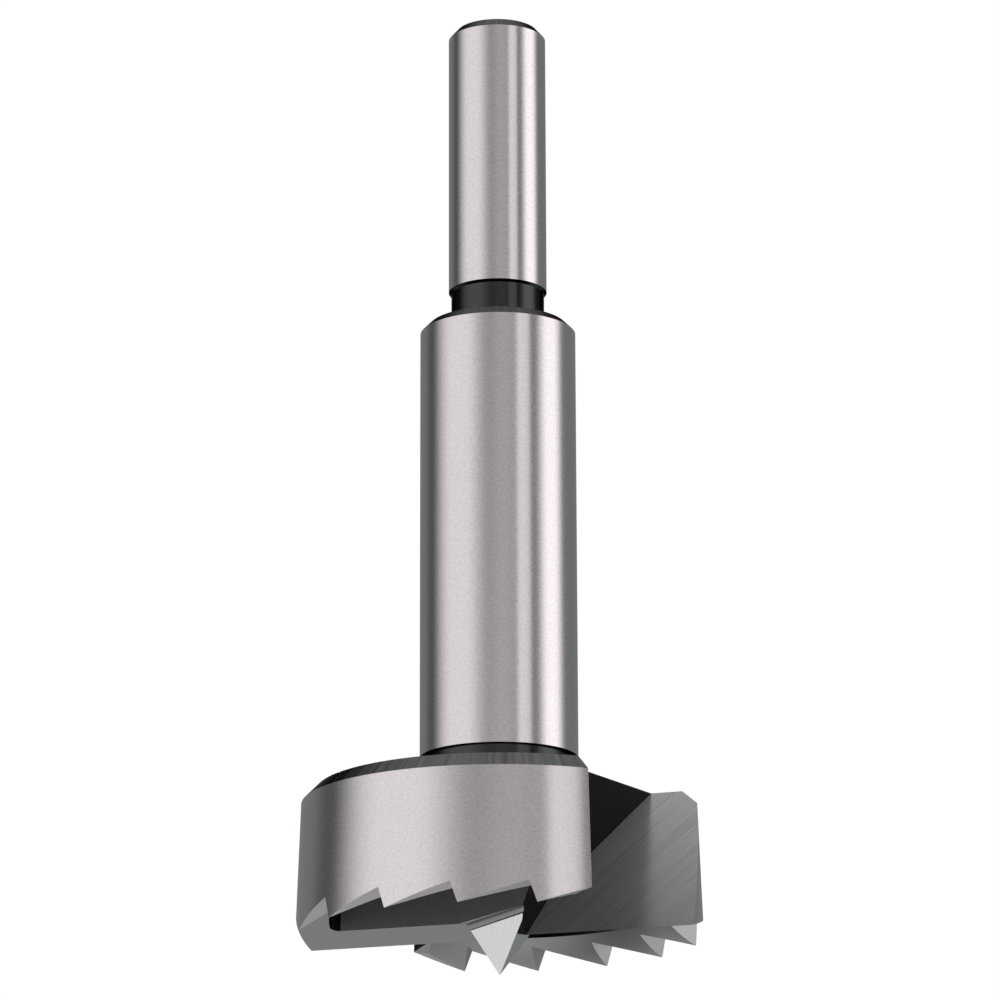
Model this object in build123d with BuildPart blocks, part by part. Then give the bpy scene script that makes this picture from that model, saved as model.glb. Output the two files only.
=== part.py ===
"""Saw-toothed forstner bit, turned and milled from one bar of tool steel.

The bit stands on its axis with the tip of the centre point at the origin and the shank up.
The two cutting edges run along X. Everything on the head repeats after half a turn.
"""
import os
from math import cos, radians, sin, sqrt, tan

from build123d import *

# Shank, collar and the two turned necks
shank_diameter = 10.0
shank_length = 28.6
shank_end_chamfer = 0.81
shank_end_chamfer_height = 0.93
shank_foot_chamfer = 0.26
upper_neck_diameter = 9.48
upper_neck_height = 3.38
collar_diameter = 15.8
collar_length = 44.94
collar_chamfer = 0.87
lower_neck_diameter = 14.8
lower_neck_height = 3.3

# Head, measured up from the plane of the cutting edges
cutting_diameter = 40.2
head_height = 14.73
back_taper = 2.05
head_chamfer = 1.45

# Centre point, a square pyramid with a ground groove above two of its faces
point_height = 3.72
point_angle = 60.0
point_turn = 6.9
point_root_height = 5.5
groove_start_height = 4.13
groove_slope = 16.6
groove_width = 0.85
groove_depth = 0.12
groove_shoulder = 0.15
groove_runout = 0.6

# Cutting blades
edge_offset = 0.77
rake_angle = 24.85
clearance_angle = 14.0
blade_thickness = 4.14

# Chip openings and the web between them
web_foot_angle = 80.0
web_foot_width = 3.1
web_foot_slope = 20.6
web_top_angle = 77.0
web_top_width = 12.2
web_top_slope = 36.8
segment_end_angle = -45.4
segment_end_turn = 56.5

# Hollow inside each toothed segment of the rim
pocket_diameter = 33.6
pocket_height = 6.8
pocket_corner_radius = 0.8
bevel_height = 2.98
bevel_crown = 0.2

# Teeth of the rim
tooth_count = 5
tooth_pitch = 21.64
first_tooth_angle = -147.7
tooth_depth = 2.1
tooth_front_lean = 19.5
tooth_front_skew = 20.5

# Heights above the tip of the point
edge_z = point_height
head_top_z = edge_z + head_height
collar_foot_z = head_top_z + lower_neck_height
collar_top_z = collar_foot_z + collar_length
shank_foot_z = collar_top_z + upper_neck_height
shank_top_z = shank_foot_z + shank_length

# Radii and reaches worked out from them
cutting_radius = cutting_diameter / 2
head_top_radius = cutting_radius - (head_height - head_chamfer) * tan(radians(back_taper))
pocket_radius = pocket_diameter / 2
rim_wall = cutting_radius - pocket_radius
reach = cutting_diameter
beyond = 1.0
half_turn_angles = (0, 180)
up = Vector(0, 0, 1)


def bearing(angle):
    """Unit vector in plan, counted from +X towards +Y."""
    return Vector(cos(radians(angle)), sin(radians(angle)), 0)


def upright_plane(point, along):
    """Vertical sketch plane through a point, with its x along the given vector and its y up."""
    return Plane(origin=point, x_dir=along, z_dir=along.cross(up))


# Turned blank, from the plane of the cutting edges to the end of the shank
with BuildPart() as blank:
    with BuildSketch(Plane.XZ):
        with BuildLine():
            Polyline(
                (0, edge_z),
                (cutting_radius, edge_z),
                (head_top_radius, head_top_z - head_chamfer),
                (head_top_radius - head_chamfer, head_top_z),
                (lower_neck_diameter / 2, head_top_z),
                (lower_neck_diameter / 2, collar_foot_z),
                (collar_diameter / 2, collar_foot_z),
                (collar_diameter / 2, collar_top_z - collar_chamfer),
                (collar_diameter / 2 - collar_chamfer, collar_top_z),
                (upper_neck_diameter / 2, collar_top_z),
                (upper_neck_diameter / 2, shank_foot_z),
                (shank_diameter / 2, shank_foot_z + shank_foot_chamfer),
                (shank_diameter / 2, shank_top_z - shank_end_chamfer_height),
                (shank_diameter / 2 - shank_end_chamfer, shank_top_z),
                (0, shank_top_z),
                close=True,
            )
        make_face()
    revolve(axis=Axis.Z)

# Front face of the first tooth: it leans back and is skewed to the radius
first_tip = bearing(first_tooth_angle) * cutting_radius + up * edge_z
inward = bearing(first_tooth_angle + 180 - tooth_front_skew)
trailing = inward.cross(up)
front_run = tooth_depth * tan(radians(tooth_front_lean))
front_plane = Plane(
    origin=first_tip,
    x_dir=inward,
    z_dir=trailing * -cos(radians(tooth_front_lean)) - up * sin(radians(tooth_front_lean)),
)

# Gullet in front of a tooth, ending at the tip of the tooth ahead of it
tip_ahead = first_tip.rotate(Axis.Z, -tooth_pitch)
pitch_run = (first_tip - tip_ahead).dot(trailing)
relief_slope = tooth_depth / (pitch_run - front_run)
gullet_length = 3 * rim_wall
with BuildPart() as gullet:
    with BuildSketch(upright_plane(first_tip - inward * rim_wall, trailing)):
        with BuildLine():
            Polyline(
                (-front_run, tooth_depth),
                (beyond * tan(radians(tooth_front_lean)), -beyond),
                (-pitch_run - beyond / relief_slope, -beyond),
                close=True,
            )
        make_face()
    extrude(amount=-gullet_length)

# Clearance behind a cutting edge, from the edge to the first tooth
with BuildPart() as clearance:
    with BuildSketch(Plane.YZ.offset(-reach)):
        with BuildLine():
            Polyline(
                (edge_offset, edge_z),
                (edge_offset - reach, edge_z + reach * tan(radians(clearance_angle))),
                (edge_offset - reach, edge_z - beyond),
                (edge_offset, edge_z - beyond),
                close=True,
            )
        make_face()
    extrude(amount=reach)
    split(bisect_by=front_plane, keep=Keep.TOP)

# Slightly crowned inner bevel that gives the teeth their knife edge
with BuildPart() as bevel:
    with BuildSketch(Plane.XZ):
        with BuildLine():
            SagittaArc((cutting_radius, edge_z), (pocket_radius, edge_z + bevel_height), bevel_crown)
            Polyline(
                (pocket_radius, edge_z + bevel_height),
                (pocket_radius - beyond, edge_z + bevel_height),
                (pocket_radius - beyond, edge_z - beyond),
                (cutting_radius, edge_z - beyond),
                (cutting_radius, edge_z),
            )
        make_face()
    revolve(axis=Axis.Z)
    split(bisect_by=front_plane, keep=Keep.BOTTOM)
    split(bisect_by=Plane(origin=(0, 0, 0), z_dir=bearing(segment_end_angle / 2 + 90)), keep=Keep.BOTTOM)

# Pocket behind a blade
with BuildPart() as pocket:
    with BuildSketch(Plane.XY.offset(edge_z - beyond)) as pocket_plan:
        Circle(pocket_radius)
        with Locations((0, edge_offset - blade_thickness)):
            Rectangle(2 * reach, reach, align=(Align.CENTER, Align.MIN), mode=Mode.SUBTRACT)
        corner = pocket_plan.vertices().sort_by(Axis.X)[0]
        fillet(corner, radius=pocket_corner_radius)
    extrude(amount=pocket_height + beyond)

# Chip opening in front of a blade
rake_plane = Plane(
    origin=(0, -edge_offset, edge_z),
    z_dir=(0, -cos(radians(rake_angle)), sin(radians(rake_angle))),
)
web_foot_out = bearing(web_foot_angle - 90)
web_foot_plane = Plane(
    origin=web_foot_out * web_foot_width + up * edge_z,
    z_dir=web_foot_out * cos(radians(web_foot_slope)) - up * sin(radians(web_foot_slope)),
)
web_top_out = bearing(web_top_angle - 90)
web_top_plane = Plane(
    origin=web_top_out * web_top_width + up * head_top_z,
    z_dir=web_top_out * cos(radians(web_top_slope)) - up * sin(radians(web_top_slope)),
)
segment_end_plane = Plane(
    origin=bearing(segment_end_angle) * cutting_radius,
    z_dir=bearing(segment_end_turn),
)
with BuildPart() as chip_opening:
    with BuildSketch(Plane.XY.offset(edge_z - beyond)):
        Circle(reach)
    extrude(amount=head_height + 2 * beyond)
    for wall in (rake_plane, web_foot_plane, web_top_plane, segment_end_plane):
        split(bisect_by=wall, keep=Keep.TOP)

# Centre point
half_point = radians(point_angle / 2)
point_side = 2 * point_root_height * tan(half_point)
with BuildPart() as point:
    with BuildSketch(Plane.XY.offset(point_root_height), mode=Mode.PRIVATE) as point_root:
        Rectangle(point_side, point_side, rotation=point_turn)
    loft(sections=[Vertex(0, 0, 0), point_root.sketch.face()])

# Grinding groove above the face of the point that lies behind the blade
face_out = bearing(point_turn - 90)
face_along = bearing(point_turn)
face_up = face_out * sin(half_point) + up * cos(half_point)
face_normal = face_out * cos(half_point) - up * sin(half_point)
groove_up = face_up * cos(radians(groove_slope)) - face_along * sin(radians(groove_slope))
corner_out = bearing(point_turn - 135) * sqrt(2) * tan(half_point)
groove_start = (corner_out + up) * groove_start_height
groove_reach = 2 * point_root_height
groove_end = groove_start - groove_up.cross(face_normal) * groove_runout
with BuildPart() as groove:
    with BuildSketch(Plane(origin=groove_end, x_dir=groove_up, z_dir=groove_up.cross(face_normal))):
        with BuildLine():
            ThreePointArc((0, 0), (groove_width / 2, -groove_depth), (groove_width, groove_shoulder))
            Polyline(
                (groove_width, groove_shoulder),
                (2 * groove_width, 2 * groove_shoulder),
                (2 * groove_width, groove_reach),
                (-groove_reach, groove_reach),
                (-groove_reach, 0),
                (0, 0),
            )
        make_face()
    extrude(amount=groove_reach)

# The finished bit
with BuildPart() as forstner_bit:
    add(blank.part)
    for half in half_turn_angles:
        add(clearance.part, rotation=(0, 0, half), mode=Mode.SUBTRACT)
        add(bevel.part, rotation=(0, 0, half), mode=Mode.SUBTRACT)
        for number in range(1, tooth_count + 1):
            add(gullet.part, rotation=(0, 0, half + number * tooth_pitch), mode=Mode.SUBTRACT)
        add(chip_opening.part, rotation=(0, 0, half), mode=Mode.SUBTRACT)
    add(point.part)
    for half in half_turn_angles:
        add(pocket.part, rotation=(0, 0, half), mode=Mode.SUBTRACT)
        add(groove.part, rotation=(0, 0, half), mode=Mode.SUBTRACT)

forstner_bit.part.label = "forstner_bit"
os.makedirs("parts", exist_ok=True)
export_step(forstner_bit.part, "parts/forstner_bit.step")
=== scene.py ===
"""Saw-toothed forstner bit in ground and blackened steel, seen from a little below against white.

The bit stands on its axis with the tip of the centre point at the origin and the shank up.
"""
from math import atan2, ceil, cos, degrees, hypot, pi, radians, sin, sqrt, tan

import bmesh
import bpy
from bpy.props import FloatProperty, FloatVectorProperty, IntProperty, PointerProperty
from mathutils import Matrix, Vector


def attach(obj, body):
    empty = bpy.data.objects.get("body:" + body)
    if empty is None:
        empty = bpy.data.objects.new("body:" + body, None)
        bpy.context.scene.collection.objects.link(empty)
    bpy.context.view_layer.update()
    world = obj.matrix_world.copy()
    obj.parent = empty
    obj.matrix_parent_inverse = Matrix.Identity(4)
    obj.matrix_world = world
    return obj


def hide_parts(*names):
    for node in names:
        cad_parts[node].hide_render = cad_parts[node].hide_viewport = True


bl_info = {
    "name": "Forstner Bit",
    "version": (1, 0, 0),
    "blender": (4, 5, 0),
    "location": "3D View > Sidebar > Forstner Bit",
    "description": "Builds a saw-toothed forstner bit and the studio it is shown in",
    "category": "Add Mesh",
}

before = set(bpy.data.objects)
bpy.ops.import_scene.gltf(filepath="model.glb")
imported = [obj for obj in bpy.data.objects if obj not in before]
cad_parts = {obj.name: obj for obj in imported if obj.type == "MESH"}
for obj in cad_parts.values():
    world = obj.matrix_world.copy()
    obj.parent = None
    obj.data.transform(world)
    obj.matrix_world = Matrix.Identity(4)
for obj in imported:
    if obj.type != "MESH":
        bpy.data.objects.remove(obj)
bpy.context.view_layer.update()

MM = 0.001
UP = Vector((0, 0, 1))

# Every face carries the number of its finish in this attribute
SURFACE = "surface"
FINISHES = (
    "ground", "blackened", "chamfer", "web", "rake", "land", "tooth_front", "relief", "bevel", "pocket",
    "point", "groove",
)
SURFACE_ID = {name: number for number, name in enumerate(FINISHES)}

# A cutter runs BEYOND past what it cuts, and a HAIR keeps its faces off the faces of the others
BEYOND = 1.0 * MM
HAIR = 0.001 * MM
TOUCHING = MM / 10000
MERGE_DISTANCE = MM / 1000

# Number of steps in each curve
STEPS_ROUND = 360
BEVEL_STEPS = 10
CORNER_STEPS = 12
GROOVE_STEPS = 12

# Least values for a face to shade as round: match of its normal with the radius through its middle,
# lean of the normal from upright as a sine, and distance of the middle from the axis
ROUND_MATCH = 0.995
LEAST_LEVEL = 0.01
AXIS_GAP = MM / 10

# Grain and brushing of the steel; the noise stays between its low and high value
GRAIN_SIZE = 0.2 * MM
BUMP_HEIGHT = 0.001 * MM
BRUSH_LENGTH = 14 * MM
BRUSH_WIDTH = 0.22 * MM
SPOKES = 30
NOISE_DETAIL = 3.0
NOISE_ROUGHNESS = 0.6
NOISE_LOW = 0.3
NOISE_HIGH = 0.7
DIAGONAL_LINES = (0, radians(-42.4), radians(25))
UPRIGHT_LINES = (0, radians(90), 0)

# Painted light and shade: share of the tone at the foot and at the top of a face whose tone is painted to
# change with height
# The rake face is painted lighter towards its top, a painted reflection of the overhead light
RAKE_PAINTED_LIGHT = (0.8, 1.4)
# The inner bevel is painted darker towards its top, painted shade
BEVEL_PAINTED_SHADE = (1.25, 0.72)

# Tall soft lights round the bit, and a flag that takes light away. Bearing from the camera, width
# and soft edge are in degrees, and the last number is the brightness.
TALL_PANELS = {
    "left softbox": (-61, 64, 39, 0.85),
    "front fill": (9, 45, 45, 0.31),
    "strip light": (38, 20, 3, 0.71),
    "key light": (84, 36, 22, 1.34),
    "left flag": (-114, 25, 21, -0.12),
}
# Round cards and flags low down. Bearing from the camera, rise, radius and soft edge are in degrees,
# and the last number is the brightness.
LOW_CARDS = {
    "front card": (-12, -38, 40, 40, 0.5),
    "back card": (176, -22, 24, 24, 0.06),
    "low flag": (-118, -46, 20, 20, -0.2),
    "foot flag": (-90, -72, 16, 16, -0.06),
}
ROOM_LIGHT = 0.225
EVEN_LIGHT = 1.1
OVERHEAD_LIGHT = 0.55
LOW_LIGHT = 0.45
COOL_WHITE = (0.94, 1.0, 1.025, 1)
PURE_WHITE = (1, 1, 1, 1)

# Rise of the direction at which a light is off and at which it is full, from -1 down to 1 up
RING_TOP = (0.75, 0.5)
RING_FOOT = (-0.35, -0.27)
OVERHEAD = (0.5, 0.75)
UNDERNEATH = (-0.3, -0.42)

FLOOR_RADIUS = 8.0
FLOOR_SEGMENTS = 96
FLOOR_TONE = (0.8, 0.8, 0.8, 1)
FLOOR_ROUGHNESS = 0.9
SENSOR_WIDTH = 36
CLIP_NEAR = 0.01
CLIP_FAR = 20
NODE_SPACING = 180


# Sizes and colours a user would change
def length(name, description, default):
    return FloatProperty(
        name=name, description=description, default=default * MM, min=0, unit="LENGTH", precision=5
    )


def turn(name, description, default):
    return FloatProperty(name=name, description=description, default=radians(default), subtype="ANGLE")


def share(name, description, default):
    return FloatProperty(name=name, description=description, default=default, min=0, max=1, subtype="FACTOR")


def tone(name, description, default):
    return FloatVectorProperty(
        name=name, description=description, default=default, size=3, min=0, max=1, subtype="COLOR"
    )


class ShankSizes(bpy.types.PropertyGroup):
    shank_diameter: length("Shank diameter", "Round shank that goes in the chuck", 10.0)
    shank_length: length("Shank length", "Shank above the upper neck", 28.6)
    end_chamfer: length("End chamfer", "Width of the chamfer at the end of the shank", 0.81)
    end_chamfer_height: length("End chamfer height", "Height of the chamfer at the end of the shank", 0.93)
    foot_chamfer: length("Foot chamfer", "Height of the small chamfer at the foot of the shank", 0.26)
    upper_neck_diameter: length("Upper neck diameter", "Groove between the shank and the collar", 9.48)
    upper_neck_height: length("Upper neck height", "Height of the groove under the shank", 3.38)
    collar_diameter: length("Collar diameter", "Long thick middle of the bit", 15.8)
    collar_length: length("Collar length", "Height of the thick middle", 44.94)
    collar_chamfer: length("Collar chamfer", "Chamfer round the top of the collar", 0.87)
    lower_neck_diameter: length("Lower neck diameter", "Groove between the collar and the head", 14.8)
    lower_neck_height: length("Lower neck height", "Height of the groove above the head", 3.3)


class HeadSizes(bpy.types.PropertyGroup):
    cutting_diameter: length("Cutting diameter", "Diameter over the tips of the teeth", 40.2)
    head_height: length("Head height", "From the cutting edges to the top of the head", 14.73)
    back_taper: turn("Back taper", "How far the rim leans in above the cutting edges", 2.05)
    head_chamfer: length("Head chamfer", "Chamfer round the top of the head", 1.45)
    edge_offset: length("Edge offset", "Distance of each cutting edge from the middle line", 0.77)
    rake_angle: turn("Rake angle", "Lean of the face that lifts the chip", 24.85)
    clearance_angle: turn("Clearance angle", "Slope of the land behind a cutting edge", 14.0)
    blade_thickness: length("Blade thickness", "From the cutting edge to the pocket behind it", 4.14)
    web_foot_angle: turn("Web foot angle", "Turn of the lower web wall about the axis", 80.0)
    web_foot_width: length("Web foot width", "Distance of the lower web wall from the axis", 3.1)
    web_foot_slope: turn("Web foot slope", "Lean of the lower web wall", 20.6)
    web_top_angle: turn("Web top angle", "Turn of the upper web wall about the axis", 77.0)
    web_top_width: length("Web top width", "Distance of the upper web wall from the axis", 12.2)
    web_top_slope: turn("Web top slope", "Lean of the upper web wall", 36.8)
    segment_end_angle: turn("Segment end", "Where the toothed segment ends on the rim", -45.4)
    segment_end_turn: turn("Segment end turn", "Direction the end of the segment faces", 56.5)
    end_facet_turn: turn("End facet turn", "Direction the facet at the foot of that end faces", 62.0)
    end_facet_lean: turn("End facet lean", "How far that facet leans down", 21.0)
    pocket_diameter: length("Pocket diameter", "Hollow inside the toothed rim", 33.6)
    pocket_height: length("Pocket height", "Depth of the hollow above the cutting edges", 6.8)
    pocket_corner_radius: length("Pocket corner", "Rounded corner of the hollow", 0.8)
    bevel_height: length("Bevel height", "Height of the bevel that sharpens the rim", 2.86)
    bevel_crown: length("Bevel crown", "Bulge of the bevel at its middle", 0.2)


class ToothSizes(bpy.types.PropertyGroup):
    tooth_count: IntProperty(name="Tooth gullets", description="Gullets in each segment", default=5, min=1)
    tooth_pitch: turn("Tooth pitch", "Angle from one tooth to the next", 21.64)
    first_tooth_angle: turn("First tooth", "Bearing of the first tooth's tip", -147.7)
    tooth_depth: length("Tooth depth", "From a tip to the foot of its gullet", 2.1)
    front_lean: turn("Front lean", "Lean of the front of a tooth", 19.5)
    front_skew: turn("Front skew", "Turn of the front of a tooth from the radius", 20.5)


class PointSizes(bpy.types.PropertyGroup):
    point_height: length("Point height", "How far the centre point leads the cutting edges", 3.72)
    point_angle: turn("Point angle", "Angle between opposite faces of the point", 60.0)
    point_turn: turn("Point turn", "Turn of the point about the axis", 6.9)
    root_height: length("Root height", "Height at which the point ends inside the web", 5.5)
    groove_start: length("Groove start", "Height of the groove's lower corner", 4.13)
    groove_slope: turn("Groove slope", "Rise of the groove along the face", 16.6)
    groove_width: length("Groove width", "Width of the ground groove", 0.85)
    groove_depth: length("Groove depth", "Depth of the ground groove", 0.12)
    groove_shoulder: length("Groove shoulder", "Height of the groove's far side over the face", 0.15)
    groove_runout: length("Groove runout", "How far the groove starts before the corner", 0.6)


class SteelLooks(bpy.types.PropertyGroup):
    ground_tone: tone("Ground steel", "Colour of the ground outer faces", (0.647, 0.595, 0.605))
    ground_roughness: share("Ground roughness", "Roughness of the ground outer faces", 0.19)
    blackened_tone: tone("Blackened necks", "Colour of the turned necks", (0.055, 0.055, 0.055))
    chamfer_tone: tone("Chamfers", "Colour of the turned chamfers", (0.24, 0.233, 0.232))
    web_tone: tone("Web", "Colour of the walls of the web", (0.02, 0.02, 0.02))
    pocket_tone: tone("Pocket", "Colour inside the toothed segments", (0.08, 0.08, 0.08))
    rake_tone: tone("Rake faces", "Colour of the faces that lift the chip", (0.32, 0.323, 0.327))
    land_tone: tone("Lands", "Colour of the lands behind the cutting edges", (0.38, 0.365, 0.37))
    bevel_tone: tone("Inner bevel", "Colour of the bevel that sharpens the rim", (0.42, 0.4, 0.4))
    tooth_tone: tone("Tooth fronts", "Colour of the fronts of the teeth", (0.51, 0.49, 0.49))
    relief_tone: tone("Tooth reliefs", "Colour of the slopes behind the teeth", (0.5, 0.475, 0.485))
    point_tone: tone("Centre point", "Colour of the faces of the centre point", (0.72, 0.71, 0.7))
    groove_tone: tone("Ground groove", "Colour of the groove above the point", (0.235, 0.222, 0.226))


class StudioSettings(bpy.types.PropertyGroup):
    camera_turn: turn("Camera turn", "Turn of the camera about the bit", 18.6)
    camera_rise: turn("Camera rise", "How far up the camera looks", 15.373)
    camera_roll: turn("Camera roll", "Turn of the camera about its line of sight", -0.174)
    camera_back: length("Camera distance", "Distance of the camera from the bit", 445.25)
    camera_side: length("Camera side step", "Sideways place of the camera", 0.17)
    camera_drop: length("Camera drop", "How far the camera is under the centre point", 74.0)
    lens: FloatProperty(name="Lens", description="Focal length", default=164.61, min=1, unit="CAMERA")
    floor_drop: length("Floor drop", "How far the floor is under the centre point", 600.0)


# Small tools for shapes
def bearing(angle):
    """Unit vector in plan, counted from +X towards +Y."""
    return Vector((cos(angle), sin(angle), 0))


def arc_through(start, middle, end, steps):
    """Points along the circle through three points of a plane, from start to end."""
    (ax, ay), (bx, by), (cx, cy) = start, middle, end
    a2, b2, c2 = ax**2 + ay**2, bx**2 + by**2, cx**2 + cy**2
    scale = 2 * (ax * (by - cy) + bx * (cy - ay) + cx * (ay - by))
    x = (a2 * (by - cy) + b2 * (cy - ay) + c2 * (ay - by)) / scale
    y = (a2 * (cx - bx) + b2 * (ax - cx) + c2 * (bx - ax)) / scale
    radius = hypot(ax - x, ay - y)
    first = atan2(ay - y, ax - x)
    sweep = (atan2(cy - y, cx - x) - first + pi) % (2 * pi) - pi
    angles = [first + sweep * step / steps for step in range(steps + 1)]
    return [(x + radius * cos(angle), y + radius * sin(angle)) for angle in angles]


def finish_mesh(name, bm):
    """Object with the bmesh's faces turned outwards."""
    bmesh.ops.remove_doubles(bm, verts=bm.verts, dist=TOUCHING)
    bmesh.ops.recalc_face_normals(bm, faces=bm.faces)
    mesh = bpy.data.meshes.new(name)
    bm.to_mesh(mesh)
    bm.free()
    made = bpy.data.objects.new(name, mesh)
    bpy.context.collection.objects.link(made)
    return made


def trim(bm, point, outward, finish):
    """Cuts away what lies beyond a plane and closes the cut with a face of that finish."""
    surface = bm.faces.layers.int[SURFACE]
    everything = bm.verts[:] + bm.edges[:] + bm.faces[:]
    cut = bmesh.ops.bisect_plane(
        bm, geom=everything, dist=TOUCHING, plane_co=point, plane_no=outward, clear_outer=True
    )
    rim = [part for part in cut["geom_cut"] if isinstance(part, bmesh.types.BMEdge)]
    caps = bmesh.ops.holes_fill(bm, edges=rim)["faces"]
    for cap in caps:
        cap[surface] = SURFACE_ID[finish]


def block(name, low, high, cuts):
    """Box from corner to corner, trimmed by planes given as point, outward direction and finish."""
    bm = bmesh.new()
    bm.faces.layers.int.new(SURFACE)
    bmesh.ops.create_cube(bm, size=1)
    low, high = Vector(low), Vector(high)
    for vert in bm.verts:
        vert.co = Vector([a + (along + 0.5) * (b - a) for a, b, along in zip(low, high, vert.co)])
    for point, outward, finish in cuts:
        trim(bm, point, outward, finish)
    return finish_mesh(name, bm)


def prism(name, outline, finishes, place, along):
    """Outline of flat points drawn through place, pushed along a vector; one finish for each side."""
    bm = bmesh.new()
    surface = bm.faces.layers.int.new(SURFACE)
    near = [bm.verts.new(place(x, y)) for x, y in outline]
    far = [bm.verts.new(place(x, y) + along) for x, y in outline]
    for end in (bm.faces.new(near), bm.faces.new(far[::-1])):
        end[surface] = SURFACE_ID[finishes[0]]
    for number, finish in enumerate(finishes):
        after = (number + 1) % len(outline)
        side = bm.faces.new((near[number], far[number], far[after], near[after]))
        side[surface] = SURFACE_ID[finish]
    return finish_mesh(name, bm)


# Node trees
class Graph:
    """Adds nodes to a tree; an input may be a value or another node's output."""

    def __init__(self, tree):
        self.tree = tree
        self.column = 0

    def add(self, kind, inputs=None, **settings):
        node = self.tree.nodes.new(kind)
        self.column += 1
        node.location = (NODE_SPACING * self.column, 0)
        for name, value in settings.items():
            setattr(node, name, value)
        for key, value in (inputs or {}).items():
            values = value if isinstance(value, list) else [value]
            for one in values:
                if isinstance(one, bpy.types.NodeSocket):
                    self.tree.links.new(one, node.inputs[key])
                else:
                    node.inputs[key].default_value = one
        return node

    def math(self, operation, *values):
        kind = "ShaderNodeMath"
        return self.add(kind, dict(enumerate(values)), operation=operation).outputs[0]


def geometry_tree(name, inputs):
    """Geometry tree with named inputs; returns its graph, its inputs by name and its result's sockets."""
    tree = bpy.data.node_groups.new(name, "GeometryNodeTree")
    tree.interface.new_socket("Geometry", in_out="INPUT", socket_type="NodeSocketGeometry")
    tree.interface.new_socket("Geometry", in_out="OUTPUT", socket_type="NodeSocketGeometry")
    for label, kind in inputs:
        tree.interface.new_socket(label, in_out="INPUT", socket_type=kind)
    graph = Graph(tree)
    return graph, graph.add("NodeGroupInput").outputs, graph.add("NodeGroupOutput").inputs


def run_tree(obj, graph, values):
    """Runs a geometry tree on an object with its named inputs and leaves the result as the plain mesh."""
    modifier = obj.modifiers.new(graph.tree.name, "NODES")
    modifier.node_group = graph.tree
    for socket in graph.tree.interface.items_tree:
        if socket.in_out == "INPUT" and socket.name in values:
            modifier[socket.identifier] = values[socket.name]
    depsgraph = bpy.context.evaluated_depsgraph_get()
    depsgraph.update()
    before = obj.data
    obj.data = bpy.data.meshes.new_from_object(obj.evaluated_get(depsgraph), depsgraph=depsgraph)
    obj.modifiers.clear()
    bpy.data.meshes.remove(before)
    if not obj.data.polygons:
        raise RuntimeError(f"{graph.tree.name} made no faces")


def revolve_tree():
    """Turns the profile held in the object's own vertices about Z."""
    graph, given, result = geometry_tree("Turn profile", [("Steps round", "NodeSocketInt")])
    profile = given["Geometry"]
    rows = graph.add("GeometryNodeAttributeDomainSize", {0: profile}).outputs["Point Count"]
    columns = graph.math("ADD", given["Steps round"], 1)
    grid = graph.add("GeometryNodeMeshGrid", {"Vertices X": columns, "Vertices Y": rows}).outputs[0]
    index = graph.add("GeometryNodeInputIndex").outputs[0]
    position = graph.add("GeometryNodeInputPosition").outputs[0]
    drawn = graph.add(
        "GeometryNodeSampleIndex",
        {"Geometry": profile, "Value": position, "Index": graph.math("MODULO", index, rows)},
        data_type="FLOAT_VECTOR",
    ).outputs[0]
    place = graph.add("ShaderNodeSeparateXYZ", {0: drawn}).outputs
    column = graph.math("FLOOR", graph.math("DIVIDE", index, rows))
    angle = graph.math("DIVIDE", graph.math("MULTIPLY", column, 2 * pi), given["Steps round"])
    x = graph.math("MULTIPLY", place["X"], graph.math("COSINE", angle))
    y = graph.math("MULTIPLY", place["X"], graph.math("SINE", angle))
    turned = graph.add("ShaderNodeCombineXYZ", {"X": x, "Y": y, "Z": place["Z"]}).outputs[0]
    shell = graph.add("GeometryNodeSetPosition", {"Geometry": grid, "Position": turned}).outputs[0]
    kept = graph.add("GeometryNodeInputNamedAttribute", {"Name": SURFACE}, data_type="INT").outputs[0]
    band = graph.math("MODULO", index, graph.math("SUBTRACT", rows, 1))
    surface = graph.add(
        "GeometryNodeSampleIndex", {"Geometry": profile, "Value": kept, "Index": band}, data_type="INT"
    ).outputs[0]
    marked = graph.add(
        "GeometryNodeStoreNamedAttribute",
        {"Geometry": shell, "Name": SURFACE, "Value": surface},
        data_type="INT",
        domain="FACE",
    ).outputs[0]
    joined = graph.add(
        "GeometryNodeMergeByDistance", {"Geometry": marked, "Distance": MERGE_DISTANCE}
    ).outputs[0]
    real = graph.add("GeometryNodeRealizeInstances", {0: joined}).outputs[0]
    graph.tree.links.new(real, result[0])
    return graph


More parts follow.
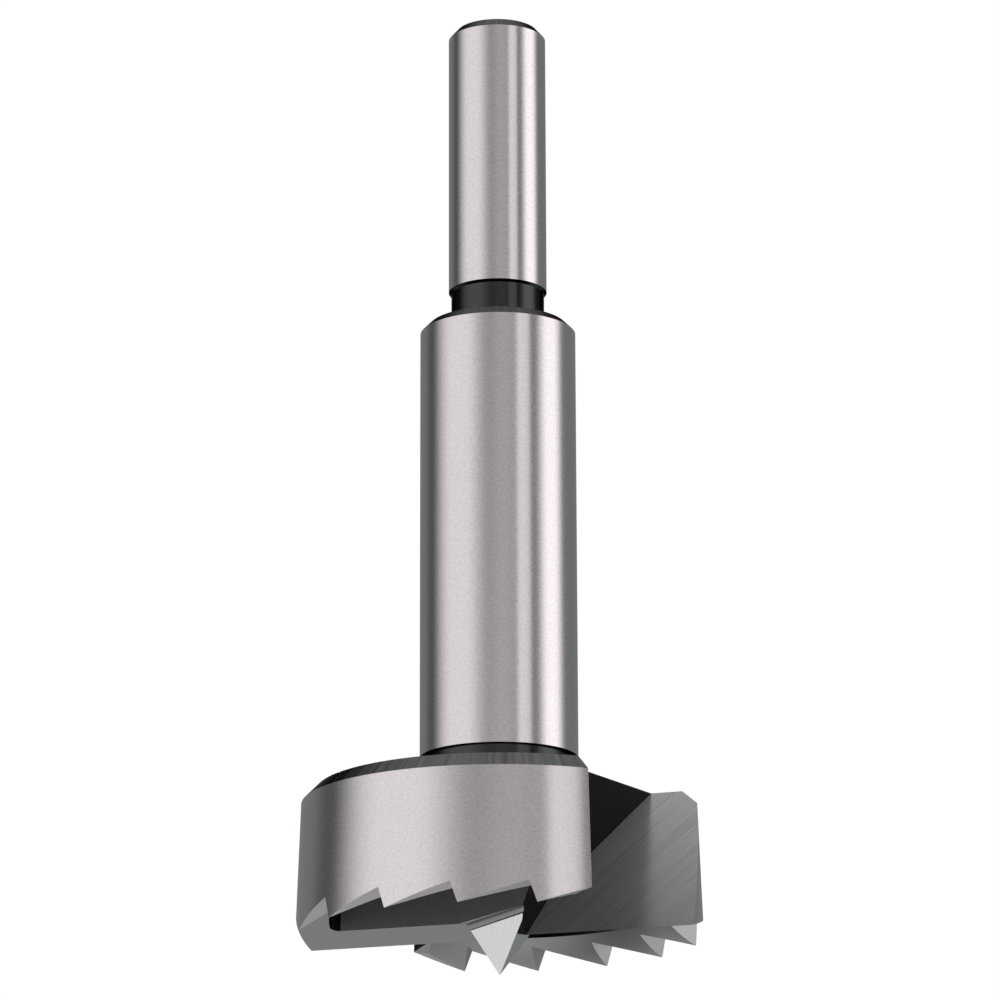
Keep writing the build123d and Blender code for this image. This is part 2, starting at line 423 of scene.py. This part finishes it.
def milling_tree(materials):
    """Cuts the head out of the blank, repeats each cut after half a turn and the gullets at each tooth."""
    early = ("Clearance", "Bevel")
    late = ("Chip opening", "Web corner", "End facet", "Pocket", "Groove")
    sockets = [(name, "NodeSocketObject") for name in (*early, "Gullet", "Point", *late)]
    sockets += [("Gullets", "NodeSocketInt"), ("Tooth pitch", "NodeSocketFloat")]
    graph, given, result = geometry_tree("Mill head", sockets)
    index = graph.add("GeometryNodeInputIndex").outputs[0]

    def shape(name):
        return graph.add("GeometryNodeObjectInfo", {"Object": given[name]}).outputs["Geometry"]

    def turned(geometry, count, angle):
        points = graph.add("GeometryNodeMeshLine", {"Count": count, "Offset": (0, 0, 0)}).outputs[0]
        rotation = graph.add("ShaderNodeCombineXYZ", {"Z": angle}).outputs[0]
        return graph.add(
            "GeometryNodeInstanceOnPoints", {"Points": points, "Instance": geometry, "Rotation": rotation}
        ).outputs[0]

    def both_halves(geometry):
        return turned(geometry, 2, graph.math("MULTIPLY", index, pi))

    def cut(geometry, others):
        inputs = {"Mesh 1": geometry, "Mesh 2": others}
        return graph.add("GeometryNodeMeshBoolean", inputs, operation="DIFFERENCE", solver="EXACT").outputs[0]

    def join(parts):
        inputs = {"Mesh 2": parts}
        return graph.add("GeometryNodeMeshBoolean", inputs, operation="UNION", solver="EXACT").outputs[0]

    half = graph.math("MULTIPLY", graph.math("FLOOR", graph.math("DIVIDE", index, given["Gullets"])), pi)
    number = graph.math("ADD", graph.math("MODULO", index, given["Gullets"]), 1)
    angle = graph.math("ADD", half, graph.math("MULTIPLY", number, given["Tooth pitch"]))
    gullets = turned(shape("Gullet"), graph.math("MULTIPLY", given["Gullets"], 2), angle)
    toothed = cut(given["Geometry"], [*(both_halves(shape(name)) for name in early), gullets])
    pointed = join([toothed, shape("Point")])
    hollowed = cut(pointed, [both_halves(shape(name)) for name in late])
    shown = graph.add("GeometryNodeRealizeInstances", {0: hollowed}).outputs[0]
    kept = graph.add("GeometryNodeInputNamedAttribute", {"Name": SURFACE}, data_type="INT").outputs[0]
    whole_a, whole_b = 2, 3  # sockets of the compare node for whole numbers
    for number, material in enumerate(materials):
        chosen = graph.add(
            "FunctionNodeCompare", {whole_a: kept, whole_b: number}, data_type="INT", operation="EQUAL"
        ).outputs[0]
        shown = graph.add(
            "GeometryNodeSetMaterial", {"Geometry": shown, "Selection": chosen, "Material": material}
        ).outputs[0]
    graph.tree.links.new(shown, result[0])
    return graph


# Steel finishes
def noise(graph, inputs, dimensions="3D"):
    inputs = {**inputs, "Detail": NOISE_DETAIL, "Roughness": NOISE_ROUGHNESS}
    return graph.add("ShaderNodeTexNoise", inputs, noise_dimensions=dimensions).outputs[0]


def spread(graph, value, amount):
    """Stretches a noise to run from minus the amount to the amount."""
    limits = {0: value, "From Min": NOISE_LOW, "From Max": NOISE_HIGH, "To Min": -amount, "To Max": amount}
    return graph.add("ShaderNodeMapRange", limits).outputs[0]


def spoke_noise(graph, where):
    """Streaks that run towards the axis."""
    flat = graph.add("ShaderNodeSeparateXYZ", {0: where}).outputs
    angle = graph.math("ARCTAN2", flat["Y"], flat["X"])
    return noise(graph, {"W": graph.math("MULTIPLY", angle, SPOKES), "Scale": 1.0}, "1D")


def line_noise(graph, where, turned):
    """Straight streaks along a turned direction, repeated after half a turn of the bit."""
    spot = graph.add("ShaderNodeSeparateXYZ", {0: where}).outputs
    x = graph.math("ABSOLUTE", spot["X"])
    y = graph.math("MULTIPLY", spot["Y"], graph.math("SIGN", spot["X"]))
    folded = graph.add("ShaderNodeCombineXYZ", {"X": x, "Y": y, "Z": spot["Z"]}).outputs[0]
    size = (BRUSH_LENGTH, BRUSH_WIDTH, BRUSH_WIDTH)
    lines = graph.add(
        "ShaderNodeMapping", {"Vector": folded, "Rotation": turned, "Scale": size}, vector_type="TEXTURE"
    ).outputs[0]
    return noise(graph, {"Vector": lines, "Scale": 1.0})


def painted_height_shading(graph, where, painted_shading):
    """Painted light and shade: share of the tone by height; the argument gives the low and the high end and
    the share at each.
    """
    low, high, low_share, high_share = painted_shading
    height = graph.add("ShaderNodeSeparateXYZ", {0: where}).outputs["Z"]
    limits = {0: height, "From Min": low, "From Max": high, "To Min": low_share, "To Max": high_share}
    return graph.add("ShaderNodeMapRange", limits).outputs[0]


def steel(
    name,
    colour,
    roughness,
    mottle=0.04,
    brush=0.0,
    lines=None,
    spokes=False,
    metallic=1.0,
    rim=1.0,
    painted_shading=None,
):
    """Metal with a fine mottled grain.

    It may be brushed in lines, given by their turn, or in spokes. A rim under 1 dims the reflection at a
    glancing angle, and the last argument paints light and shade into the tone, changing it with height.
    """
    material = bpy.data.materials.new(name)
    material.use_nodes = True
    graph = Graph(material.node_tree)
    shader = material.node_tree.nodes["Principled BSDF"]
    shader.inputs["Metallic"].default_value = metallic
    shader.inputs["Specular Tint"].default_value = (rim, rim, rim, 1)
    where = graph.add("ShaderNodeTexCoord").outputs["Object"]
    relief = noise(graph, {"Vector": where, "Scale": 1 / GRAIN_SIZE})
    change = spread(graph, relief, mottle)
    if spokes:
        change = graph.math("ADD", change, spread(graph, spoke_noise(graph, where), brush))
    if lines:
        relief = line_noise(graph, where, lines)
        change = graph.math("ADD", change, spread(graph, relief, brush))
    varied = graph.math("ADD", change, 1)
    # Painted light and shade: the tone is scaled by height where the material asks for it
    strength = graph.math("MULTIPLY", varied, painted_height_shading(graph, where, painted_shading)) if painted_shading else varied
    toned = graph.add(
        "ShaderNodeVectorMath", {0: tuple(colour), "Scale": strength}, operation="SCALE"
    ).outputs[0]
    rough = graph.math("MULTIPLY", varied, roughness)
    bump = graph.add(
        "ShaderNodeBump", {"Height": relief, "Strength": 1.0, "Distance": BUMP_HEIGHT}
    ).outputs[0]
    graph.tree.links.new(toned, shader.inputs["Base Color"])
    graph.tree.links.new(rough, shader.inputs["Roughness"])
    graph.tree.links.new(bump, shader.inputs["Normal"])
    return material


def make_finishes(looks, plan):
    """One material for each name in FINISHES, in that order."""
    # The rake face's brushed steel carries painted light: its tone is painted lighter towards the top
    rake = {
        "mottle": 0.03,
        "brush": 0.13,
        "lines": DIAGONAL_LINES,
        "metallic": 0.6,
        "painted_shading": (plan.edge_z, plan.head_top, *RAKE_PAINTED_LIGHT),
    }
    pocket = {"mottle": 0.03, "brush": 0.06, "lines": UPRIGHT_LINES, "metallic": 0.0}
    chamfer = {"brush": 0.2, "spokes": True, "rim": 0.1}
    # The honed bevel carries painted shade: its tone is painted darker towards the top
    bevel_shade_painting = (plan.edge_z, plan.bevel_top, *BEVEL_PAINTED_SHADE)
    made = {
        "ground": steel("ground_steel", looks.ground_tone, looks.ground_roughness, mottle=0.1),
        "blackened": steel("blackened_necks", looks.blackened_tone, roughness=0.15, rim=0.3),
        "chamfer": steel("blackened_chamfers", looks.chamfer_tone, roughness=0.2, **chamfer),
        "web": steel("blackened_web", looks.web_tone, roughness=0.3),
        "rake": steel("brushed_rake_with_painted_light", looks.rake_tone, roughness=0.2, **rake),
        "land": steel("honed_land", looks.land_tone, roughness=0.3),
        "tooth_front": steel("tooth_fronts", looks.tooth_tone, roughness=0.3),
        "relief": steel("tooth_reliefs", looks.relief_tone, roughness=0.3, metallic=0.7),
        "bevel": steel("honed_bevel_with_painted_shade", looks.bevel_tone, roughness=0.3, painted_shading=bevel_shade_painting),
        "pocket": steel("charcoal_pocket", looks.pocket_tone, roughness=0.5, **pocket),
        "point": steel("ground_point", looks.point_tone, 0.25, mottle=0.03, brush=0.14, spokes=True),
        "groove": steel("ground_groove", looks.groove_tone, roughness=0.25),
    }
    return [made[name] for name in FINISHES]


def check_closed(mesh):
    """Stops the script if the cuts left an open edge."""
    bm = bmesh.new()
    bm.from_mesh(mesh)
    open_edges = sum(not edge.is_manifold for edge in bm.edges)
    bm.free()
    if open_edges:
        raise RuntimeError(f"the cuts left {open_edges} open edges")


def round_normals(mesh, crown):
    """Exact shading normals for faces turned about Z; crown is the centre of the bevel's arc, given as
    radius and height."""
    surface = mesh.attributes[SURFACE].data
    rounds = {SURFACE_ID[name] for name in ("ground", "blackened", "chamfer")}
    bevel = SURFACE_ID["bevel"]
    normals = [Vector()] * len(mesh.loops)
    for face in mesh.polygons:
        middle = Vector((face.center.x, face.center.y, 0))
        kind = surface[face.index].value
        side = 1 if face.normal.dot(middle) > 0 else -1
        level = sqrt(max(0, 1 - face.normal.z**2))
        outwards = abs(face.normal.dot(middle.normalized()))
        flat = middle.length < AXIS_GAP or outwards < level * ROUND_MATCH
        for loop in face.loop_indices:
            spot = mesh.vertices[mesh.loops[loop].vertex_index].co
            out = Vector((spot.x, spot.y, 0))
            if kind in rounds and not flat and level > LEAST_LEVEL:
                normals[loop] = out.normalized() * (side * level) + UP * face.normal.z
            elif kind == bevel and not flat:
                away = Vector((out.length - crown[0], spot.z - crown[1])).normalized()
                true = out.normalized() * away.x + UP * away.y
                normals[loop] = true if true.dot(face.normal) > 0 else -true
            else:
                normals[loop] = face.normal.copy()
    mesh.polygons.foreach_set("use_smooth", [True] * len(mesh.polygons))
    mesh.normals_split_custom_set([tuple(normal) for normal in normals])


# Sizes worked out from the others
class Plan:
    """Heights, radii and directions worked out from the sizes."""

    def __init__(self, scene):
        shank, head, teeth, point = scene.bit_shank, scene.bit_head, scene.bit_teeth, scene.bit_point
        self.edge_z = point.point_height
        self.head_top = self.edge_z + head.head_height
        self.bevel_top = self.edge_z + head.bevel_height
        self.collar_foot = self.head_top + shank.lower_neck_height
        self.collar_top = self.collar_foot + shank.collar_length
        self.shank_foot = self.collar_top + shank.upper_neck_height
        self.shank_top = self.shank_foot + shank.shank_length
        self.reach = head.cutting_diameter
        self.radius = head.cutting_diameter / 2
        self.pocket_radius = head.pocket_diameter / 2
        self.rim_wall = self.radius - self.pocket_radius
        self.head_top_radius = self.radius - (head.head_height - head.head_chamfer) * tan(head.back_taper)
        self.first_tip = bearing(teeth.first_tooth_angle) * self.radius + UP * self.edge_z
        self.inward = bearing(teeth.first_tooth_angle + pi - teeth.front_skew)
        self.trailing = self.inward.cross(UP)
        self.front_out = -self.trailing * cos(teeth.front_lean) - UP * sin(teeth.front_lean)
        self.front_run = teeth.tooth_depth * tan(teeth.front_lean)
        tip_ahead = Matrix.Rotation(-teeth.tooth_pitch, 3, "Z") @ self.first_tip
        self.pitch_run = (self.first_tip - tip_ahead).dot(self.trailing)
        self.relief_slope = teeth.tooth_depth / (self.pitch_run - self.front_run)
        self.web_foot_out = bearing(head.web_foot_angle - pi / 2)
        self.rake_back = Vector((0, cos(head.rake_angle), -sin(head.rake_angle)))
        self.rake_foot = Vector((0, HAIR - head.edge_offset, self.edge_z))

    def bevel_arc(self, crown):
        """Foot, middle, top and centre of the bevel's arc, each as radius and height."""
        foot = Vector((self.radius, self.edge_z))
        top = Vector((self.pocket_radius, self.bevel_top))
        across = (top - foot).normalized()
        outward = Vector((-across.y, across.x))
        middle = (top + foot) / 2 + outward * crown
        half_chord = (top - foot).length / 2
        arc_radius = (half_chord**2 + crown**2) / (2 * crown)
        return foot, middle, top, middle - outward * arc_radius


# Steps of the build
class BIT_OT_turn_blank(bpy.types.Operator):
    """Turn the bar that the bit is made of"""

    bl_idname = "bit.turn_blank"
    bl_label = "Turn the blank"

    def execute(self, context):
        plan = Plan(context.scene)
        shank, head = context.scene.bit_shank, context.scene.bit_head
        shank_radius = shank.shank_diameter / 2
        upper_neck = shank.upper_neck_diameter / 2
        collar = shank.collar_diameter / 2
        lower_neck = shank.lower_neck_diameter / 2
        profile = (
            (0, plan.edge_z, "land"),
            (plan.radius, plan.edge_z, "ground"),
            (plan.head_top_radius, plan.head_top - head.head_chamfer, "chamfer"),
            (plan.head_top_radius - head.head_chamfer, plan.head_top, "web"),
            (lower_neck, plan.head_top, "blackened"),
            (lower_neck, plan.collar_foot, "blackened"),
            (collar, plan.collar_foot, "ground"),
            (collar, plan.collar_top - shank.collar_chamfer, "chamfer"),
            (collar - shank.collar_chamfer, plan.collar_top, "web"),
            (upper_neck, plan.collar_top, "blackened"),
            (upper_neck, plan.shank_foot, "blackened"),
            (shank_radius, plan.shank_foot + shank.foot_chamfer, "ground"),
            (shank_radius, plan.shank_top - shank.end_chamfer_height, "chamfer"),
            (shank_radius - shank.end_chamfer, plan.shank_top, "ground"),
            (0, plan.shank_top, "ground"),
        )
        mesh = bpy.data.meshes.new("bit")
        mesh.from_pydata([(r, 0, z) for r, z, _ in profile], [], [])
        surface = mesh.attributes.new(SURFACE, "INT", "POINT")
        surface.data.foreach_set("value", [SURFACE_ID[finish] for _, _, finish in profile])
        bit = bpy.data.objects.new("bit", mesh)
        context.collection.objects.link(bit)
        run_tree(bit, revolve_tree(), {"Steps round": STEPS_ROUND})
        bm = bmesh.new()
        bm.from_mesh(bit.data)
        bmesh.ops.recalc_face_normals(bm, faces=bm.faces)
        bm.to_mesh(bit.data)
        bm.free()
        return {"FINISHED"}


class BIT_OT_mill_head(bpy.types.Operator):
    """Mill the toothed head, its blades and its centre point"""

    bl_idname = "bit.mill_head"
    bl_label = "Mill the head"

    def execute(self, context):
        scene = context.scene
        plan = Plan(scene)
        bit = bpy.data.objects["bit"]
        makers = (
            ("Clearance", self.clearance),
            ("Bevel", self.bevel),
            ("Gullet", self.gullet),
            ("Point", self.point),
            ("Chip opening", self.chip_opening),
            ("Web corner", self.web_corner),
            ("End facet", self.end_facet),
            ("Pocket", self.pocket),
            ("Groove", self.groove),
        )
        values = {name: make(plan, scene) for name, make in makers}
        cutters = list(values.values())
        values["Gullets"] = scene.bit_teeth.tooth_count
        values["Tooth pitch"] = scene.bit_teeth.tooth_pitch
        run_tree(bit, milling_tree(make_finishes(scene.bit_looks, plan)), values)
        for cutter in cutters:
            bpy.data.objects.remove(cutter)
        if bit.data.materials[0] is None:  # the cuts may leave an empty slot in front
            bit.data.materials.pop(index=0)
        check_closed(bit.data)
        round_normals(bit.data, plan.bevel_arc(scene.bit_head.bevel_crown)[-1])
        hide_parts("forstner_bit")
        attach(bit, "root")
        return {"FINISHED"}

    def clearance(self, plan, scene):
        """Room behind a cutting edge, up to the first tooth."""
        head = scene.bit_head
        slope = Vector((0, sin(head.clearance_angle), cos(head.clearance_angle)))
        return block(
            "clearance",
            (-plan.reach, head.edge_offset - plan.reach, plan.edge_z - BEYOND),
            (0, head.edge_offset + BEYOND, plan.head_top),
            (
                ((0, head.edge_offset, plan.edge_z), slope, "land"),
                (plan.first_tip, -plan.front_out, "tooth_front"),
            ),
        )

    def bevel(self, plan, scene):
        """Slightly crowned inner bevel that gives the teeth their knife edge."""
        head = scene.bit_head
        foot, middle, top, _ = plan.bevel_arc(head.bevel_crown)
        line = [(r + HAIR, z + HAIR) for r, z in arc_through(foot, middle, top, BEVEL_STEPS)]
        line += [
            (plan.pocket_radius - BEYOND, top.y),
            (plan.pocket_radius - BEYOND, plan.edge_z - BEYOND),
            (plan.radius + BEYOND, plan.edge_z - BEYOND),
            (plan.radius + BEYOND, plan.edge_z - BEYOND / 2),
        ]
        bm = bmesh.new()
        surface = bm.faces.layers.int.new(SURFACE)
        verts = [bm.verts.new((r, 0, z)) for r, z in line]
        edges = [bm.edges.new((verts[i - 1], verts[i])) for i in range(len(verts))]
        bmesh.ops.spin(
            bm,
            geom=verts + edges,
            axis=UP,
            cent=(0, 0, 0),
            dvec=(0, 0, 0),
            angle=2 * pi,
            steps=STEPS_ROUND,
            use_merge=True,
        )
        for face in bm.faces:
            face[surface] = SURFACE_ID["bevel"]
        bmesh.ops.recalc_face_normals(bm, faces=bm.faces)
        trim(bm, plan.first_tip + plan.front_out * HAIR, plan.front_out, "tooth_front")
        trim(bm, (0, 0, 0), bearing(head.segment_end_angle / 2 + pi / 2), "bevel")
        return finish_mesh("bevel", bm)

    def gullet(self, plan, scene):
        """Space in front of a tooth, ending at the tip of the tooth ahead of it."""
        teeth = scene.bit_teeth
        outline = (
            (-plan.front_run, teeth.tooth_depth),
            (BEYOND * tan(teeth.front_lean), -BEYOND),
            (-plan.pitch_run - BEYOND / plan.relief_slope, -BEYOND),
        )
        start = plan.first_tip - plan.inward * plan.rim_wall
        return prism(
            "gullet",
            outline,
            ("tooth_front", "relief", "relief"),
            lambda x, y: start + plan.trailing * x + UP * (y + HAIR),
            plan.inward * 3 * plan.rim_wall,
        )

    def chip_opening(self, plan, scene):
        """Opening in front of a blade, between its rake face and the web."""
        head = scene.bit_head
        foot, top = plan.web_foot_out, bearing(head.web_top_angle - pi / 2)
        foot_out = foot * cos(head.web_foot_slope) - UP * sin(head.web_foot_slope)
        top_out = top * cos(head.web_top_slope) - UP * sin(head.web_top_slope)
        end_out = bearing(head.segment_end_turn)
        return block(
            "chip_opening",
            (-plan.reach, -plan.reach, plan.edge_z - BEYOND),
            (plan.reach, plan.reach, plan.head_top + BEYOND),
            (
                (plan.rake_foot, plan.rake_back, "rake"),
                (foot * head.web_foot_width + UP * plan.edge_z, -foot_out, "web"),
                (top * head.web_top_width + UP * plan.head_top, -top_out, "web"),
                (bearing(head.segment_end_angle) * plan.radius, -end_out, "web"),
            ),
        )

    def web_corner(self, plan, scene):
        """Takes off the corner of the web that would stand in front of the point's right edge."""
        head, sizes = scene.bit_head, scene.bit_point
        edge = bearing(sizes.point_turn - pi / 4) * (sqrt(2) * tan(sizes.point_angle / 2)) + UP
        foot = plan.web_foot_out
        start = edge * plan.edge_z
        foot_x = (head.web_foot_width + foot.y * head.edge_offset) / foot.x
        end = Vector((foot_x, -head.edge_offset, plan.edge_z))
        wall = (end - start).cross(edge).normalized()
        return block(
            "web_corner",
            (0, head.edge_offset - head.blade_thickness - BEYOND, plan.edge_z - BEYOND),
            (2 * head.web_foot_width, 0, sizes.root_height),
            ((start, -wall, "web"), (plan.rake_foot, plan.rake_back, "web")),
        )

    def end_facet(self, plan, scene):
        """Narrow facet at the foot of the segment's end, starting at the corner on the rim."""
        head, teeth = scene.bit_head, scene.bit_teeth
        pitch, last = teeth.tooth_pitch, teeth.tooth_count
        tip_ahead = Matrix.Rotation(pitch * (last - 1), 3, "Z") @ plan.first_tip
        trailing = Matrix.Rotation(pitch * last, 3, "Z") @ plan.trailing
        corner = bearing(head.segment_end_angle) * plan.radius
        rise = (corner - tip_ahead).dot(trailing) * plan.relief_slope
        out = bearing(head.end_facet_turn) * cos(head.end_facet_lean) - UP * sin(head.end_facet_lean)
        foot = corner + UP * (plan.edge_z + rise)
        return block(
            "end_facet",
            (corner.x - plan.rim_wall - BEYOND, -plan.radius, plan.edge_z - BEYOND),
            (plan.radius, corner.y + 2 * plan.rim_wall, plan.edge_z + teeth.tooth_depth + BEYOND),
            ((foot - out * HAIR, -out, "tooth_front"),),
        )

    def point(self, plan, scene):
        """Square pyramid that finds the centre of the hole."""
        sizes = scene.bit_point
        corner = sqrt(2) * sizes.root_height * tan(sizes.point_angle / 2)
        bm = bmesh.new()
        surface = bm.faces.layers.int.new(SURFACE)
        tip = bm.verts.new((0, 0, 0))
        quarters = [sizes.point_turn + pi / 4 + pi / 2 * quarter for quarter in range(4)]
        root = [bm.verts.new(bearing(angle) * corner + UP * sizes.root_height) for angle in quarters]
        bm.faces.new(root)
        for number in range(4):
            bm.faces.new((tip, root[number], root[number - 1]))
        for face in bm.faces:
            face[surface] = SURFACE_ID["point"]
        return finish_mesh("point", bm)

    def pocket(self, plan, scene):
        """Hollow inside a toothed segment, behind a blade."""
        head = scene.bit_head
        wall = head.edge_offset - head.blade_thickness
        corner = head.pocket_corner_radius
        corner_y = wall - corner
        corner_x = -sqrt((plan.pocket_radius - corner) ** 2 - corner_y**2)
        right = atan2(wall, sqrt(plan.pocket_radius**2 - wall**2))
        left = atan2(corner_y, corner_x)
        whole_degrees = range(ceil(degrees(left)), ceil(degrees(right)))
        angles = [left, *(radians(degree) for degree in whole_degrees), right]
        rim = [(plan.pocket_radius * cos(angle), plan.pocket_radius * sin(angle)) for angle in angles]
        sweep = left + 2 * pi - pi / 2
        outline = [rim.pop()]
        for step in range(CORNER_STEPS):
            angle = pi / 2 + sweep * step / CORNER_STEPS
            outline.append((corner_x + corner * cos(angle), corner_y + corner * sin(angle)))
        outline += rim
        finishes = ["pocket"] + ["web"] * (len(outline) - 1)
        return prism(
            "pocket",
            outline,
            finishes,
            lambda x, y: Vector((x, y, plan.edge_z - BEYOND)),
            UP * (head.pocket_height + BEYOND),
        )

    def groove(self, plan, scene):
        """Grinding groove above the face of the point that lies behind the blade."""
        sizes = scene.bit_point
        half = sizes.point_angle / 2
        out = bearing(sizes.point_turn - pi / 2)
        along = bearing(sizes.point_turn)
        face_up = out * sin(half) + UP * cos(half)
        face_out = out * cos(half) - UP * sin(half)
        up = face_up * cos(sizes.groove_slope) - along * sin(sizes.groove_slope)
        away = up.cross(face_out)
        corner = bearing(sizes.point_turn - 3 * pi / 4) * (sqrt(2) * tan(half)) + UP
        start = corner * sizes.groove_start - away * sizes.groove_runout
        reach = 2 * sizes.root_height
        width, shoulder = sizes.groove_width, sizes.groove_shoulder
        line = arc_through((0, 0), (width / 2, -sizes.groove_depth), (width, shoulder), GROOVE_STEPS)
        waste = [(2 * width, 2 * shoulder), (2 * width, reach), (-reach, reach), (-reach, 0)]
        finishes = ["groove"] * len(line) + ["point"] * len(waste)
        return prism(
            "groove", line + waste, finishes, lambda x, y: start + up * x + face_out * y, away * reach
        )


class BIT_OT_set_stage(bpy.types.Operator):
    """Lay the floor, light the bit and place the camera"""

    bl_idname = "bit.set_stage"
    bl_label = "Set the stage"

    def execute(self, context):
        studio = context.scene.bit_studio
        self.floor(context, studio)
        self.light(context, studio)
        self.camera(context, studio)
        context.scene.view_settings.view_transform = "Standard"
        return {"FINISHED"}

    def floor(self, context, studio):
        """Pale disc far under the bit, not seen in the steel."""
        bm = bmesh.new()
        bmesh.ops.create_circle(bm, cap_ends=True, radius=FLOOR_RADIUS, segments=FLOOR_SEGMENTS)
        bmesh.ops.translate(bm, verts=bm.verts, vec=-UP * studio.floor_drop)
        floor = finish_mesh("floor", bm)
        material = bpy.data.materials.new("pale_floor")
        material.use_nodes = True
        shader = material.node_tree.nodes["Principled BSDF"]
        shader.inputs["Base Color"].default_value = FLOOR_TONE
        shader.inputs["Roughness"].default_value = FLOOR_ROUGHNESS
        floor.data.materials.append(material)
        floor.visible_glossy = False

    def light(self, context, studio):
        """Studio seen in the steel, an even light on what isn't polished, and white behind the bit."""
        world = bpy.data.worlds.new("studio")
        context.scene.world = world
        world.use_nodes = True
        graph = Graph(world.node_tree)
        world.node_tree.nodes.clear()
        way = graph.add("ShaderNodeTexCoord").outputs["Generated"]
        rise = graph.add("ShaderNodeSeparateXYZ", {0: way}).outputs["Z"]
        ring = graph.math(
            "MULTIPLY", self.ramp(graph, rise, *RING_TOP), self.ramp(graph, rise, *RING_FOOT)
        )
        tall = graph.math("MULTIPLY", self.tall_panels(graph, way, studio.camera_turn), ring)
        over = graph.math("MULTIPLY", self.ramp(graph, rise, *OVERHEAD), OVERHEAD_LIGHT - ROOM_LIGHT)
        below = graph.math("MULTIPLY", self.ramp(graph, rise, *UNDERNEATH), LOW_LIGHT - ROOM_LIGHT)
        lights = graph.math("ADD", graph.math("ADD", tall, over), below)
        for card in LOW_CARDS.values():
            lights = graph.math("ADD", lights, self.low_card(graph, way, card, studio.camera_turn))
        room = self.glow(graph, COOL_WHITE, ROOM_LIGHT)
        lamps = self.glow(graph, PURE_WHITE, lights)
        polished = graph.add("ShaderNodeAddShader", {0: room, 1: lamps}).outputs[0]
        even = self.glow(graph, PURE_WHITE, EVEN_LIGHT)
        white = self.glow(graph, PURE_WHITE, 1.0)
        path = graph.add("ShaderNodeLightPath").outputs
        soft = graph.add("ShaderNodeMixShader", {0: path["Is Diffuse Ray"], 1: polished, 2: even}).outputs[0]
        mixed = graph.add("ShaderNodeMixShader", {0: path["Is Camera Ray"], 1: soft, 2: white}).outputs[0]
        graph.add("ShaderNodeOutputWorld", {"Surface": mixed})

    def glow(self, graph, colour, strength):
        return graph.add("ShaderNodeBackground", {"Color": colour, "Strength": strength}).outputs[0]

    def ramp(self, graph, value, zero, one):
        """Smooth step from 0 to 1 between two values."""
        limits = {0: value, "From Min": zero, "From Max": one}
        return graph.add("ShaderNodeMapRange", limits, interpolation_type="SMOOTHSTEP").outputs[0]

    def tall_panels(self, graph, way, camera_turn):
        """Sum of the tall panels, by the bearing of the direction from the camera's."""
        flat = graph.add("ShaderNodeSeparateXYZ", {0: way}).outputs
        clockwise = graph.math("ARCTAN2", flat["X"], graph.math("MULTIPLY", flat["Y"], -1))
        total = 0.0
        for angle, width, edge, brightness in TALL_PANELS.values():
            apart = graph.math("SUBTRACT", clockwise, camera_turn + radians(angle))
            off = graph.math("ABSOLUTE", graph.math("WRAP", apart, -pi, pi))
            inside = self.ramp(graph, off, radians(width + edge) / 2, radians(width - edge) / 2)
            total = graph.math("ADD", total, graph.math("MULTIPLY", inside, brightness))
        return total

    def low_card(self, graph, way, card, camera_turn):
        """Soft round card, by the angle between the direction and its middle."""
        angle, rise, radius, edge, brightness = card
        out = bearing(camera_turn + radians(angle) - pi / 2)
        middle = out * cos(radians(rise)) + UP * sin(radians(rise))
        nearness = graph.add(
            "ShaderNodeVectorMath", {0: way, 1: tuple(middle)}, operation="DOT_PRODUCT"
        ).outputs["Value"]
        off = graph.math("ARCCOSINE", nearness)
        inside = self.ramp(graph, off, radians(radius + edge / 2), radians(radius - edge / 2))
        return graph.math("MULTIPLY", inside, brightness)

    def camera(self, context, studio):
        """Camera on a circle about the bit, looking up at it."""
        data = bpy.data.cameras.new("camera")
        data.lens = studio.lens
        data.sensor_width = SENSOR_WIDTH
        data.clip_start = CLIP_NEAR
        data.clip_end = CLIP_FAR
        camera = bpy.data.objects.new("camera", data)
        context.collection.objects.link(camera)
        place = Vector((studio.camera_side, -studio.camera_back, -studio.camera_drop))
        turn_about = Matrix.Rotation(studio.camera_turn, 4, "Z")
        tilt = Matrix.Rotation(pi / 2 + studio.camera_rise, 4, "X")
        roll = Matrix.Rotation(studio.camera_roll, 4, "Z")
        camera.matrix_world = turn_about @ Matrix.Translation(place) @ tilt @ roll
        context.scene.camera = camera


# Panel and registration
class BIT_PT_panel(bpy.types.Panel):
    """Lists the steps and the sizes they use"""

    bl_label = "Forstner Bit"
    bl_idname = "BIT_PT_panel"
    bl_space_type = "VIEW_3D"
    bl_region_type = "UI"
    bl_category = "Forstner Bit"

    def draw(self, context):
        for group in GROUPS:
            box = self.layout.box()
            settings = getattr(context.scene, group)
            for name in settings.__annotations__:
                box.prop(settings, name)
        for step in STEPS:
            self.layout.operator(step.bl_idname)


GROUPS = {
    "bit_shank": ShankSizes,
    "bit_head": HeadSizes,
    "bit_teeth": ToothSizes,
    "bit_point": PointSizes,
    "bit_looks": SteelLooks,
    "bit_studio": StudioSettings,
}
STEPS = (BIT_OT_turn_blank, BIT_OT_mill_head, BIT_OT_set_stage)
CLASSES = (*GROUPS.values(), *STEPS, BIT_PT_panel)


def register():
    for cls in CLASSES:
        bpy.utils.register_class(cls)
    for name, group in GROUPS.items():
        setattr(bpy.types.Scene, name, PointerProperty(type=group))


def unregister():
    for name in GROUPS:
        delattr(bpy.types.Scene, name)
    for cls in reversed(CLASSES):
        bpy.utils.unregister_class(cls)


def main():
    register()
    bpy.ops.bit.turn_blank()
    bpy.ops.bit.mill_head()
    bpy.ops.bit.set_stage()
    bpy.context.view_layer.update()


if __name__ == "__main__":
    main()
